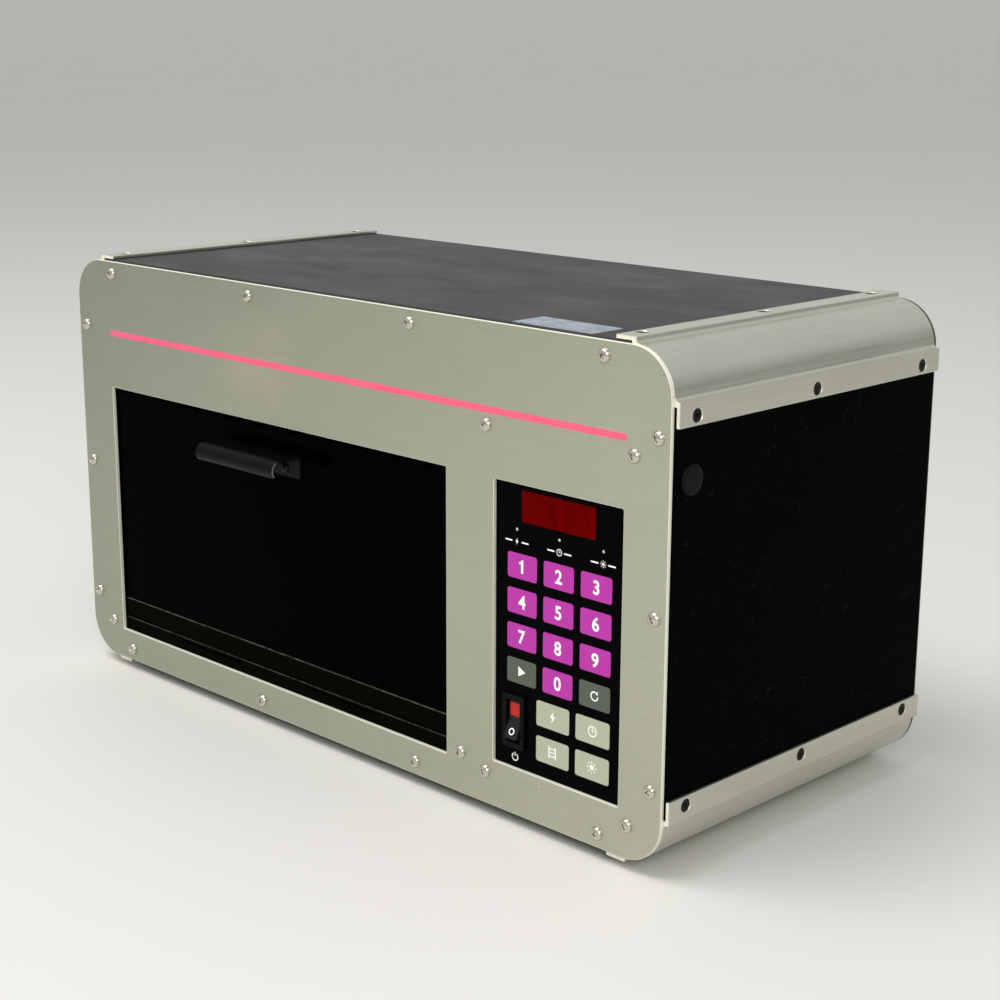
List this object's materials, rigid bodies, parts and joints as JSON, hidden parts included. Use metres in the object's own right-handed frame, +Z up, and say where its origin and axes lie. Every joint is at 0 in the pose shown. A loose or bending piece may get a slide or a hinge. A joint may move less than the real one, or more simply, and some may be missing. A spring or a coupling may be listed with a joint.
{
  "type": "uv crosslinker",
  "caption": "Bench-top ultraviolet crosslinker: a railed metal case with a lamp chamber behind a black drop-down door, and a membrane keypad with a rocker switch.",
  "frame": {"origin": "centre of the whole footprint, on the surface that the feet stand on", "axes": "+X to the right as seen from the front, +Y from the door to the back, +Z up"},
  "size_m": [0.4506, 0.2222, 0.2445],
  "materials": {
    "front_plate": "brushed lengthwise, clear anodised",
    "back_plate": "brushed lengthwise, clear anodised",
    "rails": "extruded, clear anodised, fine lengthwise draw lines",
    "panels": "black powder coat, satin",
    "plug": "smooth black nylon",
    "screws": "bright zinc or nickel plated",
    "dark_screws": "black oxide",
    "feet": "matte black rubber",
    "chamber": "bright, lightly brushed",
    "reflector": "polished reflector sheet",
    "lamp_glass": "clear quartz tube",
    "lamp_caps": "thin spun cap",
    "lampholders": "white moulded holder",
    "sensor": "turned rim",
    "door_frame": "dark, satin",
    "seal": "closed-cell foam strip",
    "catch_plastic": "moulded",
    "door": "gloss black ultraviolet-blocking acrylic",
    "hinge": "dark, satin",
    "steel": "bare steel",
    "handle": "black moulding with a soft sheen",
    "keypad": "printed polyester film, glossy, with matte printed key fields",
    "keypad_plate": "mill finish",
    "white_plastic": "moulded",
    "tail": "clear polyester with silver tracks",
    "red_window": "deep red filter",
    "display": "dark digit face",
    "leds": "red epoxy",
    "board": "green solder mask",
    "board_parts": "moulded",
    "standoffs": "hexagonal",
    "switch_body": "black nylon",
    "rocker": "dark grey nylon",
    "rocker_flag": "red-orange",
    "inner_plate": "zinc plated",
    "ballasts": "enamelled steel",
    "starters": "thin can",
    "core": "varnished laminations",
    "coil": "taped winding",
    "inlet": "black moulding"
  },
  "bodies": {
    "case": {"front_plate": "front_plate", "back_plate": "back_plate", "rail_top_right": "rails", "rail_top_left": "rails", "rail_bottom_right": "rails", "rail_bottom_left": "rails", "top_panel": "panels", "bottom_panel": "panels", "right_side_panel": "panels", "left_side_panel": "panels", "side_hole_plug": "plug", "front_plate_screws": "screws", "back_plate_screws": "screws", "rail_screws": "dark_screws", "rubber_feet": "feet", "foot_screws": "dark_screws", "chamber_liner": "chamber", "lamp_reflector": "reflector", "uv_lamps": "lamp_glass", "lamp_caps": "lamp_caps", "lampholders": "lampholders", "uv_sensor": "sensor", "uv_sensor_nut": "sensor", "door_frame": "door_frame", "door_seal": "seal", "catch_magnet": "catch_plastic", "interlock_switch": "catch_plastic", "hinge_fixed_leaf": "hinge", "hinge_pin": "steel", "hinge_rail": "keypad_plate", "keypad_overlay": "keypad", "keypad_plate": "keypad_plate", "keypad_spacers": "white_plastic", "keypad_tail": "tail", "display_window": "red_window", "display_module": "display", "indicator_leds": "leds", "control_board": "board", "board_components": "board_parts", "board_standoffs": "standoffs", "board_screws": "screws", "switch_housing": "switch_body", "ballast_plate": "inner_plate", "ballasts": "ballasts", "starter_sockets": "white_plastic", "starters": "starters", "transformer_core": "core", "transformer_coil": "coil", "mains_inlet": "inlet", "inlet_screws": "dark_screws"},
    "door": {"door_panel": "door", "door_strike": "steel", "hinge_moving_leaf": "hinge", "hinge_screws": "dark_screws", "door_handle": "handle", "handle_screws": "dark_screws"},
    "rocker": {"power_rocker": "rocker", "rocker_flag": "rocker_flag"},
    "plunger": {"interlock_plunger": "catch_plastic"}
  },
  "joints": [
    {"name": "door_hinge", "type": "hinge", "parent": "case", "child": "door", "pos_m": [0, -0.0897, 0.0305], "axis": [1, 0, 0], "range_deg": [0, 90]},
    {"name": "power_rocker_pivot", "type": "hinge", "parent": "case", "child": "rocker", "pos_m": [0.1302, -0.0894, 0.05265], "axis": [1, 0, 0], "range_deg": [0, 24]},
    {"name": "interlock_slide", "type": "slide", "parent": "case", "child": "plunger", "axis": [0, -1, 0], "range_m": [0, 0.002]}
  ],
  "couplings": [
    {"joint": "interlock_slide", "follows": "door_hinge", "m_per_rad": 0.00127}
  ]
}
